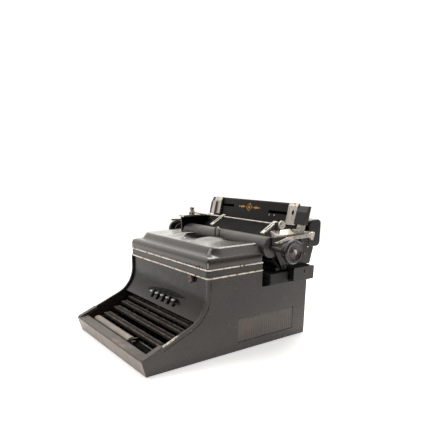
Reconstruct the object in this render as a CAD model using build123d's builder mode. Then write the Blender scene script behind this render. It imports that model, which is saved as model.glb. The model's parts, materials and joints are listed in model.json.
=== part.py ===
from build123d import *

import os
from math import cos, radians, sin, tan

# Office typewriter with a wide carriage, a front-hinged top cover and flat banks of keys.
# Millimetres. +X is the typist's right, +Y runs from the keyboard to the back, +Z is up.
# The origin is on the table, under the centre of the bounding box.

# ---------------------------------------------------------------- driving dimensions
HALF_WIDTH = 147.0  # half of the body's width
BODY_DEPTH = 390.0  # front bottom edge to the back panel
FRONT = -206.5  # y of the body's front bottom edge
FOOT = 3.0  # height of the rubber feet
SKIRT = 0.8  # the outer panels hang down round the feet to this height
WALL, BACK_WALL = 5.0, 3.0  # thickness of the side walls and of the back panel
INNER = HALF_WIDTH - WALL
LIP_OUT = 8.0  # the front lip leans this far forward
LIP_TOP = 31.0
LIP_DEPTH = 12.0  # rear face of the front rail
SLOPE = 22.5  # angle of the keyboard's side edges, degrees
SLOPE_DEPTH, SLOPE_HEIGHT = 30.0, 46.0  # a point on the sloping edge
THROAT_R = 60.0  # sweep of the side edge from the slope up to the waist
WAIST_FRONT = 129.0
WAIST = 154.0  # top of the side walls
TRIM = 2.5  # height of each trim strip
UPPER_TRIM = 169.3  # underside of the upper trim strip
COVER_BASE = UPPER_TRIM + TRIM + 0.2
COVER_REAR = 260.0
SHOULDER = 193.0  # height of the cover's shoulder
CROWN = 206.5  # height of the cover's raised top
CROWN_HALF, CROWN_FRONT = 135.0, 150.0
SHEET = 2.5  # cover thickness
DECK_FRONT = 264.0
DECK = 122.0  # top of the rear of the body, under the carriage

PLATEN_DEPTH, PLATEN_HEIGHT, PLATEN_R = 285.0, 196.6, 20.3
PLATEN_HALF, PLATEN_END = 137.0, 144.4  # the roller reaches farther on the right
KNOB_R, KNOB_END_LEFT, KNOB_END_RIGHT = 22.5, 201.0, 206.0
SHAFT_R = 6.0
PLATE_IN, PLATE_OUT = 145.0, 149.0  # carriage end plates
RAIL_TOP = 146.0
BED_TOP = 154.0
TABLE_FOOT, TABLE_HEAD = (357.0, 233.0), (367.0, 277.0)  # paper table, depth and height
BAIL_DEPTH, BAIL_HEIGHT, BAIL_R = 300.0, 241.0, 1.6

AXLE_DEPTH, AXLE_HEIGHT, AXLE_R = 335.0, 34.0, 3.0  # key lever axle
KEY_ROWS = ((50.0, 39.0), (74.0, 48.5), (93.0, 58.0), (111.0, 66.5))  # depth, top height
LEVERS = 11  # levers under each bank of keys
RUNNING = 0.05  # radial clearance of a running fit

os.makedirs("parts", exist_ok=True)


def side(x):
    """Plane across the machine: local x is depth, local y is height."""
    return Plane(origin=(x, FRONT, 0), x_dir=(0, 1, 0), z_dir=(1, 0, 0))


def deck(height):
    """Level plane: local x is across, local y is depth."""
    return Plane(origin=(0, FRONT, height))


def face(depth):
    """Upright plane facing the typist: local x is across, local y is height."""
    return Plane(origin=(0, FRONT + depth, 0), x_dir=(1, 0, 0), z_dir=(0, -1, 0))


def along_x(depth, height):
    """Axis across the machine."""
    return Axis((0, FRONT + depth, height), (1, 0, 0))


def keep(builder, name):
    """Label a finished piece and write its file."""
    builder.part.label = name
    export_step(builder.part, f"parts/{name}.step")


def span(low, high):
    """Centre and length of an interval."""
    return (low + high) / 2, high - low


def block(x_range, depth_range, height_range, mode=Mode.ADD):
    """Box between pairs of limits."""
    (x, width), (y, length), (z, tall) = map(span, *zip(x_range, depth_range, height_range))
    with Locations((x, FRONT + y, z)):
        Box(width, length, tall, mode=mode)


def rod(depth, height, radius, x_from, x_to, mode=Mode.ADD):
    """Round bar across the machine."""
    with BuildSketch(side(x_from)) as section:
        with Locations((depth, height)):
            Circle(radius)
    extrude(section.sketch, amount=x_to - x_from, mode=mode)


def slab(points, x_from, x_to, mode=Mode.ADD):
    """Plate with a straight-sided outline in depth and height."""
    with BuildSketch(side(x_from)) as section:
        with BuildLine():
            Polyline(*points, close=True)
        make_face()
    extrude(section.sketch, amount=x_to - x_from, mode=mode)


# ---------------------------------------------------------------- side profile
SLOPE_RAD = radians(SLOPE)
THROAT_DEPTH = WAIST_FRONT - THROAT_R
THROAT_HEIGHT = SLOPE_HEIGHT + (
    THROAT_R + (THROAT_DEPTH - SLOPE_DEPTH) * sin(SLOPE_RAD)
) / cos(SLOPE_RAD)


def slope_height(depth, inset=0.0):
    """Height of the sloping edge, or of a line that far inside it."""
    return SLOPE_HEIGHT + (depth - SLOPE_DEPTH) * tan(SLOPE_RAD) - inset / cos(SLOPE_RAD)


def throat_point(inset, angle):
    """Point on the throat's curve, by its angle below level."""
    reach = THROAT_R + inset
    return (
        THROAT_DEPTH + reach * cos(radians(angle)),
        THROAT_HEIGHT - reach * sin(radians(angle)),
    )


def throat_line(inset, start_depth, top):
    """The front edge of a side wall, drawn that far inside it, from its slope up to the top."""
    start = (start_depth, slope_height(start_depth, inset))
    slope = Line(start, throat_point(inset, 90 - SLOPE))
    curve = JernArc(slope @ 1, slope % 1, THROAT_R + inset, 90 - SLOPE)
    riser = Line(curve @ 1, (WAIST_FRONT + inset, top))
    return slope @ 0, riser @ 1


# ---------------------------------------------------------------- body shell
LIP_REAR_TOP = LIP_TOP + 2.5
LIP_RISE = (LIP_REAR_TOP - LIP_TOP - 1) / (LIP_DEPTH + LIP_OUT - 2)
# depth at which the side walls' sloping tops meet the top of the front rail
RAIL_JOIN = (slope_height(0) - LIP_TOP - 1 - (LIP_OUT - 2) * LIP_RISE) / (LIP_RISE - tan(SLOPE_RAD))
RETURN_FRONT, RETURN_REAR = -5.0, 34.0
VENT_DEPTH, VENT_HEIGHT = (203.0, 353.0), (18.0, 66.0)
VENT_RIBS = 26
BEAD_INSET, BEAD_WIDTH, BEAD_CUT = 8.0, 1.6, 0.8

for name, hand in (("left", -1), ("right", 1)):
    with BuildPart() as side_wall:
        with BuildSketch(side(hand * INNER)):
            with BuildLine():
                low, high = throat_line(0, RAIL_JOIN, WAIST)
                Polyline(
                    high,
                    (DECK_FRONT - 2, WAIST),
                    (DECK_FRONT - 2, DECK),
                    (BODY_DEPTH, DECK),
                    (BODY_DEPTH, SKIRT),
                    (3.5, SKIRT),
                    (2.5, 24),
                    (LIP_DEPTH, 28),
                    (LIP_DEPTH, LIP_REAR_TOP),
                    low,
                )
            make_face()
        extrude(amount=hand * WALL)
        with BuildSketch(side(hand * HALF_WIDTH)):
            with BuildLine():
                throat_line(BEAD_INSET, LIP_DEPTH + 24, WAIST - 4)
            trace(line_width=BEAD_WIDTH)
        extrude(amount=-hand * BEAD_CUT, mode=Mode.SUBTRACT)
        block(
            sorted((hand * INNER, hand * HALF_WIDTH)), VENT_DEPTH, VENT_HEIGHT, Mode.SUBTRACT
        )
    keep(side_wall, f"side_panel_{name}")

with BuildPart() as grilles:
    for hand in (-1, 1):
        back, front_face = hand * (INNER + 0.6), hand * (INNER + 2.6)
        block(sorted((back, front_face)), VENT_DEPTH, VENT_HEIGHT)
        pitch = (VENT_DEPTH[1] - VENT_DEPTH[0]) / VENT_RIBS
        for rib in range(VENT_RIBS):
            start = VENT_DEPTH[0] + (rib + 0.25) * pitch
            block(
                sorted((front_face, hand * (INNER + 4.0))),
                (start, start + 0.5 * pitch),
                (VENT_HEIGHT[0] + 2, VENT_HEIGHT[1] - 2),
            )
keep(grilles, "vent_grilles")

with BuildPart() as front_rail:
    slab(
        ((0, SKIRT), (-LIP_OUT, LIP_TOP - 1.5), (-LIP_OUT + 2, LIP_TOP + 1), (LIP_DEPTH, LIP_REAR_TOP),
         (LIP_DEPTH, 28), (2.5, 24), (3.5, SKIRT)),
        -HALF_WIDTH,
        HALF_WIDTH,
    )
    for hand in (-1, 1):
        top = slope_height(RETURN_REAR)
        nose = [(RETURN_FRONT, LIP_TOP - 0.5), (RETURN_FRONT, slope_height(RETURN_FRONT) + 1.8),
                (RETURN_REAR, top + 1.6)]
        slab(
            (*nose, (RETURN_REAR, top), (RAIL_JOIN, slope_height(RAIL_JOIN))),
            *sorted((hand * INNER, hand * HALF_WIDTH)),
        )
        slab(
            (*nose, (RETURN_REAR, top - 4), (LIP_DEPTH, LIP_TOP + 1)),
            *sorted((hand * (INNER - 6), hand * INNER)),
        )
keep(front_rail, "front_rail")

APRON_INSET, APRON_SHEET, APRON_FOOT = 4.0, 2.5, 53.0
TAB_X = [-33.0, -12.0, 9.0, 30.0, 51.0]
TAB_TOP, TAB_SLOT_HALF, TAB_SLOT = 97.5, 5.0, (82.5, 97.0)
SELECTOR_X, SELECTOR_HEIGHT, SELECTOR_R = 94.0, 146.0, 7.4
SELECTOR_FACE = 126.0  # depth of the ribbon selector's front

with BuildPart() as apron:
    with BuildSketch(side(-INNER)):
        with BuildLine():
            inner_r = THROAT_R + APRON_INSET
            outer_r = inner_r + APRON_SHEET
            centre = (THROAT_DEPTH, THROAT_HEIGHT)
            near = CenterArc(centre, inner_r, -APRON_FOOT, APRON_FOOT)
            far = CenterArc(centre, outer_r, -APRON_FOOT, APRON_FOOT)
            Line(near @ 0, far @ 0)
            Polyline(near @ 1, (centre[0] + inner_r, WAIST), (centre[0] + outer_r, WAIST), far @ 1)
        make_face()
    extrude(amount=2 * INNER)
    for x in TAB_X:
        block((x - TAB_SLOT_HALF, x + TAB_SLOT_HALF), (100, 140), TAB_SLOT, Mode.SUBTRACT)
    with BuildSketch(face(120)):
        with Locations((SELECTOR_X, SELECTOR_HEIGHT)):
            Circle(3 + RUNNING)
    extrude(amount=-30, mode=Mode.SUBTRACT)
keep(apron, "front_apron")

DRUM_X, DRUM_HEIGHT, DRUM_R = -96.0, 88.0, 25.0
with BuildPart() as back_panel:
    block((-INNER, INNER), (BODY_DEPTH - BACK_WALL, BODY_DEPTH), (SKIRT, DECK))
    block((-INNER, INNER), (DECK_FRONT, BODY_DEPTH), (DECK - 3, DECK))
    for column in range(15):
        x = -98 + 14 * column
        block((x - 2, x + 2), (BODY_DEPTH - BACK_WALL, BODY_DEPTH), (24, 56), Mode.SUBTRACT)
    with BuildSketch(face(342)):
        with Locations((DRUM_X, DRUM_HEIGHT)):
            Circle(4)
    extrude(amount=-(BODY_DEPTH - BACK_WALL - 342))
    with BuildSketch(face(364)):
        with Locations((DRUM_X, DRUM_HEIGHT)):
            Circle(9)
    extrude(amount=-(BODY_DEPTH - BACK_WALL - 364))
keep(back_panel, "back_panel")


def horseshoe(out, low, high, thickness, rear):
    """Band round the front and sides of the waist, standing out from the walls by out."""
    with BuildSketch(deck(low)) as plan:
        with BuildLine():
            edge, front = HALF_WIDTH + out, WAIST_FRONT - out
            FilletPolyline((-edge, rear), (-edge, front), (edge, front), (edge, rear), radius=6)
            Line((-edge, rear), (edge, rear))
        make_face()
        with BuildLine():
            edge, front = edge - thickness, front + thickness
            FilletPolyline((-edge, rear), (-edge, front), (edge, front), (edge, rear), radius=3)
            Line((-edge, rear), (edge, rear))
        make_face(mode=Mode.SUBTRACT)
    extrude(plan.sketch, amount=high - low)


with BuildPart() as lower_trim:
    horseshoe(0.8, WAIST, WAIST + TRIM, WALL + 2.6, DECK_FRONT - 2)
keep(lower_trim, "trim_strip_lower")
with BuildPart() as waist_band:
    horseshoe(-0.4, WAIST + TRIM, UPPER_TRIM, WALL, DECK_FRONT - 2)
keep(waist_band, "waist_band")
with BuildPart() as upper_trim:
    horseshoe(0.3, UPPER_TRIM, UPPER_TRIM + TRIM, WALL, DECK_FRONT - 2)
keep(upper_trim, "trim_strip_upper")

CHEEK = 3.5
SEGMENT_DEPTH, SEGMENT_TOP = (246.0, 256.0), 152.0
BRIDGE = (84.0, 90.0)  # heights of the cross bar that carries the type segment

with BuildPart() as base_frame:
    block((-INNER, INNER), (LIP_DEPTH, BODY_DEPTH - BACK_WALL), (FOOT, FOOT + 4))
    block((-INNER + 36, INNER - 36), (152, BODY_DEPTH - 42), (FOOT, FOOT + 4), Mode.SUBTRACT)
    block((-INNER, INNER), (232, 262), BRIDGE)
    for hand in (-1, 1):
        outer, inner = hand * INNER, hand * (INNER - CHEEK)
        block(sorted((outer, inner)), (160, 372), (FOOT, DECK - 3))
    block((-INNER, INNER), (160, 164), (78, 102))
    block((TAB_X[0] - 8, TAB_X[-1] + 8), (160, 164), (82, 97), Mode.SUBTRACT)
    rod(AXLE_DEPTH, AXLE_HEIGHT, AXLE_R, -INNER, INNER, Mode.SUBTRACT)
keep(base_frame, "base_frame")

with BuildPart() as feet:
    for x in (-118, 118):
        for depth in (32, 360):
            with Locations((x, FRONT + depth, 0)):
                Cylinder(11, FOOT, align=(Align.CENTER, Align.CENTER, Align.MIN))
keep(feet, "rubber_feet")

with BuildPart() as axle:
    rod(AXLE_DEPTH, AXLE_HEIGHT, AXLE_R, -INNER, INNER)
keep(axle, "key_lever_axle")

# ---------------------------------------------------------------- keyboard
SLAT_HALF, SLAT_DEPTH, SLAT_TALL = 122.0, 13.0, 5.0
STUD_PITCH, STUD, STUD_TALL = 8.0, 5.2, 1.6
LEVER_THICK, LEVER_TALL, LEVER_LOW = 2.0, 6.0, 19.0
LEVER_PITCH = 21.0
ROW_SHIFT = 4.6  # sideways shift of each bank's levers, so that all four clear each other


def lever(x, depth, top):
    """Flat lever from the axle to a stem under a key bank."""
    low, high = LEVER_LOW, LEVER_LOW + LEVER_TALL
    slab(
        ((AXLE_DEPTH, AXLE_HEIGHT - 5), (AXLE_DEPTH + 5, AXLE_HEIGHT), (AXLE_DEPTH, AXLE_HEIGHT + 5),
         (AXLE_DEPTH - 25, high + 3), (depth + 3, high), (depth + 3, top), (depth - 3, top),
         (depth - 3, low), (AXLE_DEPTH - 25, low)),
        x - LEVER_THICK / 2,
        x + LEVER_THICK / 2,
    )


for row, (depth, top) in enumerate(KEY_ROWS):
    with BuildPart() as key_bank:
        under = top - STUD_TALL - SLAT_TALL
        block((-SLAT_HALF, SLAT_HALF), (depth - SLAT_DEPTH / 2, depth + SLAT_DEPTH / 2),
              (under, top - STUD_TALL))
        ends = key_bank.edges().filter_by(Axis.Z)
        fillet(ends, 4)
        for rib in (depth - SLAT_DEPTH / 2 + 1.1, depth + SLAT_DEPTH / 2 - 1.1):
            block((-SLAT_HALF + 5, SLAT_HALF - 5), (rib - 0.7, rib + 0.7), (top - STUD_TALL, top))
        count = int(2 * (SLAT_HALF - 8) / STUD_PITCH)
        for stud in range(count):
            x = (stud - (count - 1) / 2) * STUD_PITCH
            block((x - STUD / 2, x + STUD / 2), (depth - STUD / 2, depth + STUD / 2),
                  (top - STUD_TALL, top - 0.2))
        for number in range(LEVERS):
            x = (number - (LEVERS - 1) / 2) * LEVER_PITCH + (row - 1.5) * ROW_SHIFT
            lever(x, depth, under)
        rod(AXLE_DEPTH, AXLE_HEIGHT, AXLE_R + RUNNING, -INNER, INNER, Mode.SUBTRACT)
    keep(key_bank, f"key_row_{row + 1}")

SPACE_DEPTH, SPACE_TOP = (21.0, 38.0), 33.0
SPACE_X = (-123.0, 38.0)
SPACE_ROD, SPACE_ROD_R = (43.5, 22.5), 2.2
ARM_X = 131.0

with BuildPart() as space_bar:
    with BuildSketch(side(SPACE_X[0])) as bar_section:
        with BuildLine():
            low = SPACE_TOP - 7
            Polyline((SPACE_DEPTH[1], low), (SPACE_DEPTH[0], low), (SPACE_DEPTH[0], low + 3))
            ThreePointArc(
                (SPACE_DEPTH[0], low + 3),
                ((SPACE_DEPTH[0] + SPACE_DEPTH[1]) / 2, SPACE_TOP),
                (SPACE_DEPTH[1], low + 3),
            )
            Line((SPACE_DEPTH[1], low + 3), (SPACE_DEPTH[1], low))
        make_face()
    extrude(amount=SPACE_X[1] - SPACE_X[0])
    corners = space_bar.edges().filter_by(Axis.Z)
    fillet(corners, 2.5)
keep(space_bar, "space_bar")

with BuildPart() as space_frame:
    rod(*SPACE_ROD, SPACE_ROD_R, -ARM_X, ARM_X)
    for x in (-ARM_X, ARM_X):
        slab(
            ((SPACE_ROD[0] - 3, 19), (SPACE_ROD[0] - 3, 26), (AXLE_DEPTH - 25, 26),
             (AXLE_DEPTH, AXLE_HEIGHT + 5), (AXLE_DEPTH + 5, AXLE_HEIGHT),
             (AXLE_DEPTH, AXLE_HEIGHT - 5), (AXLE_DEPTH - 25, 19)),
            x - 1.5,
            x + 1.5,
        )
    for x in (-100, -40, 22):
        block((x - 3, x + 3), (28, SPACE_ROD[0]), (SPACE_ROD[1] - 1.5, SPACE_ROD[1] + 1.5))
        block((x - 3, x + 3), (28, 32), (SPACE_ROD[1], SPACE_TOP - 7))
    block((SPACE_X[1] + 1, SPACE_X[1] + 4), (24, SPACE_ROD[0]), (SPACE_ROD[1] - 2, SPACE_TOP - 2))
    block((SPACE_X[1] + 4, SPACE_X[1] + 11), (25, 33), (SPACE_ROD[1] - 2, SPACE_TOP - 5))
    rod(AXLE_DEPTH, AXLE_HEIGHT, AXLE_R + RUNNING, -INNER, INNER, Mode.SUBTRACT)
keep(space_frame, "space_bar_frame")

for number, x in enumerate(TAB_X):
    with BuildPart() as tab_key:
        block((x - 4.5, x + 4.5), (113, 124), (TAB_TOP - 3, TAB_TOP))
        rounded = tab_key.edges().filter_by(Axis.Z).sort_by(Axis.Y)[:2]
        fillet(rounded, 3)
        slab(
            ((116, TAB_TOP - 3), (123, TAB_TOP - 3), (168, TAB_TOP - 3), (168, TAB_TOP - 8),
             (121, TAB_TOP - 8)),
            x - 1.5,
            x + 1.5,
        )
    keep(tab_key, f"tab_key_{number + 1}")

with BuildPart() as selector:
    with BuildSketch(face(SELECTOR_FACE)):
        with Locations((SELECTOR_X, SELECTOR_HEIGHT)):
            Circle(SELECTOR_R)
    extrude(amount=-5)
    rim = selector.edges().filter_by(GeomType.CIRCLE).sort_by(Axis.Y)[0]
    fillet(rim, 1.8)
    with BuildSketch(face(SELECTOR_FACE)):
        with Locations((SELECTOR_X, SELECTOR_HEIGHT)):
            Circle(3)
    extrude(amount=-15)
    with BuildSketch(face(SELECTOR_FACE)):
        with Locations((SELECTOR_X, SELECTOR_HEIGHT)):
            SlotOverall(11, 2.2)
    extrude(amount=-1.2, mode=Mode.SUBTRACT)
keep(selector, "ribbon_selector_knob")

# ---------------------------------------------------------------- top cover and its hinge
HINGE = (130.2, 174.4)  # depth and height of the hinge pin
HINGE_R, PIN_R = 2.2, 1.1
BEAD_HALF = 124.0
COVER_FRONT = WAIST_FRONT + 0.2
COVER_HALF = HALF_WIDTH - 0.2


def cover_solid(inside):
    """The cover's domed form, or the hollow that a sheet of even thickness leaves in it."""
    half, front = COVER_HALF - inside, COVER_FRONT + inside
    base = COVER_BASE - (1 if inside else 0)
    centre, length = span(front, COVER_REAR + inside)
    with BuildPart() as form:
        with BuildSketch(deck(base)):
            with Locations((0, centre)):
                Rectangle(2 * half, length)
        extrude(amount=SHOULDER - inside - base)
        upright = form.edges().filter_by(Axis.Z).sort_by(Axis.Y)[:2]
        fillet(upright, 12 - inside)
        brow = form.faces().sort_by(Axis.Z)[-1].edges().sort_by(Axis.Y)[:-1]
        fillet(brow, 11 - inside)
        centre, length = span(CROWN_FRONT + inside, COVER_REAR + inside)
        with BuildSketch(deck(SHOULDER - inside - 2)):
            with Locations((0, centre)):
                Rectangle(2 * (CROWN_HALF - inside), length)
        extrude(amount=CROWN - SHOULDER + 2)
        upright = form.edges().filter_by(Axis.Z).sort_by(Axis.Z)[-4:].sort_by(Axis.Y)[:2]
        fillet(upright, 20 - inside)
        brow = form.faces().sort_by(Axis.Z)[-1].edges().sort_by(Axis.Y)[:-1]
        fillet(brow, 6 - inside)
    return form.part


outer_form = cover_solid(0)
inner_form = cover_solid(SHEET)

with BuildPart() as cover:
    add(outer_form)
    add(inner_form, mode=Mode.SUBTRACT)
    with BuildSketch(deck(COVER_BASE + 18)):
        with BuildLine():
            edge = Spline(
                (-132, COVER_REAR), (-98, 238), (-70, 229), (-48, 236), (-36, 226), (-32, 204),
                (0, 180), (32, 204), (36, 226), (48, 236), (70, 229), (98, 238), (132, COVER_REAR),
                tangents=((1, -0.6), (1, 0.6)),
            )
            Polyline(edge @ 1, (132, COVER_REAR + 9), (-132, COVER_REAR + 9), edge @ 0)
        make_face()
    extrude(amount=40, mode=Mode.SUBTRACT)
    rod(*HINGE, HINGE_R, -BEAD_HALF, BEAD_HALF)
    rod(*HINGE, PIN_R + RUNNING, -HALF_WIDTH, HALF_WIDTH, Mode.SUBTRACT)
    for hand in (-1, 1):
        near, far = sorted((hand * BEAD_HALF, hand * (BEAD_HALF + 8)))
        block((near, far), (120, 134), (COVER_BASE - 1, HINGE[1] + 3), Mode.SUBTRACT)
keep(cover, "top_cover")

with BuildPart() as hinge_pin:
    rod(*HINGE, PIN_R, -BEAD_HALF - 6, BEAD_HALF + 6)
    for hand in (-1, 1):
        near, far = sorted((hand * (BEAD_HALF + 1), hand * (BEAD_HALF + 7)))
        rod(*HINGE, HINGE_R - 0.2, near, far)
        block((near, far), (HINGE[0] - 1.2, HINGE[0] + 2), (UPPER_TRIM + TRIM, HINGE[1] - 1))
keep(hinge_pin, "cover_hinge_pin")

# ---------------------------------------------------------------- type basket and ribbon
TYPEBARS, TYPEBAR_SPREAD = 28, 72.0
PIVOT_R = 46.0  # typebar pivots lie on this arc, below the segment's centre
TYPEBAR_REACH = 88.0
PIVOT_DEPTH = 251.0
SLOT_WIDTH = 2.0
TYPEBAR_PIN_R = 0.8
BASKET = Axis((0, FRONT, SEGMENT_TOP), (0, 1, 0))

with BuildPart() as segment:
    with BuildSketch(face(SEGMENT_DEPTH[1])):
        with Locations((0, SEGMENT_TOP)):
            Circle(62)
            Circle(38, mode=Mode.SUBTRACT)
        with Locations((0, SEGMENT_TOP + 50)):
            Rectangle(160, 100, mode=Mode.SUBTRACT)
    extrude(amount=SEGMENT_DEPTH[1] - SEGMENT_DEPTH[0])
    block((-30, 30), SEGMENT_DEPTH, (BRIDGE[1], SEGMENT_TOP - 52))
    with BuildSketch(face(SEGMENT_DEPTH[1])):
        with Locations((0, SEGMENT_TOP)):
            for number in range(-TYPEBARS // 2, TYPEBARS // 2 + 1):
                angle = -90 + number * 2 * TYPEBAR_SPREAD / TYPEBARS
                with PolarLocations(46, 1, angle):
                    Rectangle(22, SLOT_WIDTH)
    extrude(amount=SEGMENT_DEPTH[1] - SEGMENT_DEPTH[0], mode=Mode.SUBTRACT)
    rod(PIVOT_DEPTH, SEGMENT_TOP - PIVOT_R, TYPEBAR_PIN_R, -1.0, 1.0)
keep(segment, "type_segment")


def typebar_blank():
    """One typebar lying in the basket, on the centre line."""
    pivot = SEGMENT_TOP - PIVOT_R
    with BuildPart() as bar:
        slab(
            ((PIVOT_DEPTH + 3, pivot - 2), (PIVOT_DEPTH + 3, pivot + 2), (PIVOT_DEPTH, pivot + 3),
             (PIVOT_DEPTH - TYPEBAR_REACH, pivot + 4), (PIVOT_DEPTH - TYPEBAR_REACH, pivot + 1),
             (PIVOT_DEPTH, pivot - 3)),
            -0.6,
            0.6,
        )
        block((-1.5, 1.5), (PIVOT_DEPTH - TYPEBAR_REACH - 3, PIVOT_DEPTH - TYPEBAR_REACH + 1),
              (pivot - 1, pivot + 5))
    return bar.part


bar_shape = typebar_blank()
with BuildPart() as typebars:
    for number in range(-TYPEBARS // 2, TYPEBARS // 2 + 1):
        if number:
            add(bar_shape.rotate(BASKET, number * 2 * TYPEBAR_SPREAD / TYPEBARS))
keep(typebars, "typebars")

with BuildPart() as centre_bar:
    add(bar_shape)
    rod(PIVOT_DEPTH, SEGMENT_TOP - PIVOT_R, TYPEBAR_PIN_R + RUNNING, -2, 2, Mode.SUBTRACT)
keep(centre_bar, "typebar_centre")

GUIDE_DEPTH = (261.6, 263.9)
with BuildPart() as type_guide:
    with BuildSketch(face(GUIDE_DEPTH[1])):
        with BuildLine():
            for half in (9.0, 6.2):
                Line((-half, 144), (-half, 214))
                ThreePointArc((-half, 214), (0, 214 + half + 1), (half, 214))
                Line((half, 214), (half, 144))
            Line((-9, 144), (-6.2, 144))
            Line((6.2, 144), (9, 144))
        make_face()
    extrude(amount=GUIDE_DEPTH[1] - GUIDE_DEPTH[0])
    block((-60, 60), GUIDE_DEPTH, (138, 144))
    for hand in (-1, 1):
        block(sorted((hand * 50, hand * 58)), (SEGMENT_DEPTH[1], GUIDE_DEPTH[0]), (138, 144))
keep(type_guide, "type_guide")

SPOOL_X, SPOOL_DEPTH, SPOOL_R = 98.0, 200.0, 25.0
SPOOL_FLOOR = 157.0
with BuildPart() as spool_decks:
    for hand in (-1, 1):
        block(sorted((hand * 68, hand * (INNER - 1.8))), (168, 232), (SPOOL_FLOOR - 3, SPOOL_FLOOR))
        with Locations((hand * SPOOL_X, FRONT + SPOOL_DEPTH, SPOOL_FLOOR)):
            Cylinder(3, 22, align=(Align.CENTER, Align.CENTER, Align.MIN))
keep(spool_decks, "ribbon_spool_decks")

for name, hand in (("left", -1), ("right", 1)):
    with BuildPart() as spool:
        with Locations((hand * SPOOL_X, FRONT + SPOOL_DEPTH, SPOOL_FLOOR + 1)):
            Cylinder(SPOOL_R, 1.5, align=(Align.CENTER, Align.CENTER, Align.MIN))
            Cylinder(16, 16, align=(Align.CENTER, Align.CENTER, Align.MIN))
        with Locations((hand * SPOOL_X, FRONT + SPOOL_DEPTH, SPOOL_FLOOR + 15.5)):
            Cylinder(SPOOL_R, 1.5, align=(Align.CENTER, Align.CENTER, Align.MIN))
        with Locations((hand * SPOOL_X, FRONT + SPOOL_DEPTH, SPOOL_FLOOR + 1)):
            Cylinder(3 + RUNNING, 40, mode=Mode.SUBTRACT)
        with Locations((hand * SPOOL_X, FRONT + SPOOL_DEPTH, SPOOL_FLOOR + 16)):
            with PolarLocations(20, 5):
                Cylinder(3, 4, mode=Mode.SUBTRACT)
    keep(spool, f"ribbon_spool_{name}")

# ---------------------------------------------------------------- carriage rail and bed
RAIL_DEPTH, RAIL_HALF = (275.0, 325.0), 155.0
BEAM_DEPTH, BEAM_HALF, BEAM_LOW = (328.0, 387.0), 167.0, 126.0

with BuildPart() as rail:
    block((-RAIL_HALF, RAIL_HALF), RAIL_DEPTH, (DECK + 3, RAIL_TOP))
    block((-INNER, INNER), RAIL_DEPTH, (DECK, DECK + 3))
    block((-INNER + 8, INNER - 8), (RAIL_DEPTH[0] + 7, RAIL_DEPTH[1] - 7), (DECK, RAIL_TOP - 5),
          Mode.SUBTRACT)
    for depth in RAIL_DEPTH:
        with BuildSketch(side(-RAIL_HALF)):
            for height in (130, 135.5, 141):
                with Locations((depth, height)):
                    Rectangle(4, 2.4)
        extrude(amount=2 * RAIL_HALF, mode=Mode.SUBTRACT)
keep(rail, "carriage_rail")

with BuildPart() as bed:
    block((-BEAM_HALF, BEAM_HALF), BEAM_DEPTH, (BEAM_LOW, BED_TOP))
    long_edges = bed.edges().filter_by(Axis.X)
    fillet(long_edges, 3)
    block((-PLATE_IN, PLATE_IN), (300, BEAM_DEPTH[0] + 6), (RAIL_TOP + 0.5, BED_TOP))
    block((-BEAM_HALF + 6, BEAM_HALF - 6), (BEAM_DEPTH[0] + 6, BEAM_DEPTH[1] - 6),
          (BEAM_LOW, BED_TOP - 4), Mode.SUBTRACT)
keep(bed, "carriage_bed")

FEED_R, FEED_SHAFT = 6.0, 2.5
FEED_ANGLE = radians(30)
FEED_GAP = PLATEN_R + FEED_R + 0.3
FEED_DEPTH = PLATEN_DEPTH + FEED_GAP * cos(FEED_ANGLE)
FEED_HEIGHT = PLATEN_HEIGHT - FEED_GAP * sin(FEED_ANGLE)
LEVER_PIVOT = (345.0, 204.0)
HOUSING_DEPTH, HOUSING_HEIGHT = (384.0, 421.0), (188.0, 244.0)
TOP_LEFT, TOP_RIGHT = 233.0, 217.0
RETURN_PIVOT = (-161.0, 300.0)
RETURN_HEIGHT = (221.0, 225.0)

PLATES = {
    "left": ((266, TOP_LEFT), (268, 200), (315, 149), (327, 149), (327, BED_TOP), (393, BED_TOP),
             (402, 187.8), (383.8, 187.8), (383.8, 222), (366, TOP_LEFT)),
    "right": ((281, TOP_RIGHT), (284, 202), (315, 149), (327, 149), (327, BED_TOP),
              (393, BED_TOP), (402, 187.8), (383.8, 187.8), (383.8, TOP_RIGHT)),
}
for name, hand in (("left", -1), ("right", 1)):
    near, far = sorted((hand * PLATE_IN, hand * PLATE_OUT))
    with BuildPart() as end_plate:
        slab(PLATES[name], near, far)
        rod(PLATEN_DEPTH, PLATEN_HEIGHT, SHAFT_R + RUNNING, near, far, Mode.SUBTRACT)
        rod(FEED_DEPTH, FEED_HEIGHT, FEED_SHAFT + RUNNING, near, far, Mode.SUBTRACT)
        if hand < 0:
            lug = (RETURN_HEIGHT[0] - 6, RETURN_HEIGHT[0] - 0.5)
            block((-168, -PLATE_OUT), (293, 307), lug)
            with Locations((RETURN_PIVOT[0], FRONT + RETURN_PIVOT[1], lug[1])):
                Cylinder(3, 6.5, align=(Align.CENTER, Align.CENTER, Align.MIN))
    keep(end_plate, f"end_plate_{name}")

with BuildPart() as housing:
    block((-150, 150), HOUSING_DEPTH, HOUSING_HEIGHT)
    long_edges = housing.edges().filter_by(Axis.X)
    fillet(long_edges, 9)
    ends = housing.edges().group_by(Axis.X)
    fillet(ends[0] + ends[-1], 3)
    block((-145, 145), (HOUSING_DEPTH[0] + 4, HOUSING_DEPTH[1] - 4),
          (HOUSING_HEIGHT[0], HOUSING_HEIGHT[1] - 4), Mode.SUBTRACT)
keep(housing, "tabulator_housing")

# ---------------------------------------------------------------- platen and feed roller
with BuildPart() as platen:
    rod(PLATEN_DEPTH, PLATEN_HEIGHT, PLATEN_R, -PLATEN_HALF, PLATEN_END)
    rod(PLATEN_DEPTH, PLATEN_HEIGHT, SHAFT_R, -PLATEN_HALF, PLATEN_END, Mode.SUBTRACT)
keep(platen, "platen_roller")

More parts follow.
